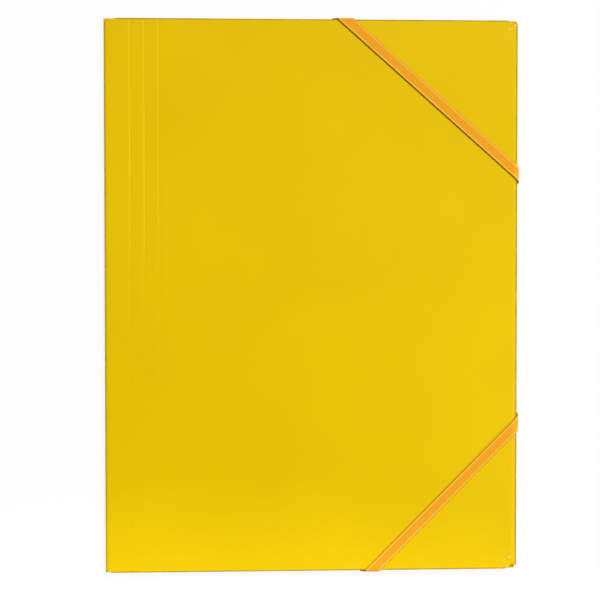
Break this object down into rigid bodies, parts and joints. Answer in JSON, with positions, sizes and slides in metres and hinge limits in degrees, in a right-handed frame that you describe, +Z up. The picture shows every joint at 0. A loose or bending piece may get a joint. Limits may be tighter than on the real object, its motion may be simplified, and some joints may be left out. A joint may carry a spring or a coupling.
{
  "type": "elastic folder",
  "caption": "Closed flap folder of glossy yellow board, creased beside its spine, with flat orange elastic bands across its free corners, lying on its back cover.",
  "frame": {"origin": "on the ground below the middle of the closed folder", "axes": "+X from the spine to the free edge, +Y up the page, +Z up out of the front cover"},
  "size_m": [0.2409, 0.322, 0.0055],
  "materials": {
    "glossy_board": "gloss",
    "elastic": "matte",
    "rivet_metal": "satin"
  },
  "bodies": {
    "root": {"folder_cover": "glossy_board", "band_top": "elastic", "band_bottom": "elastic", "rivet_top_edge": "rivet_metal", "rivet_side_upper": "rivet_metal", "rivet_bottom_edge": "rivet_metal", "rivet_side_lower": "rivet_metal"}
  },
  "joints": []
}
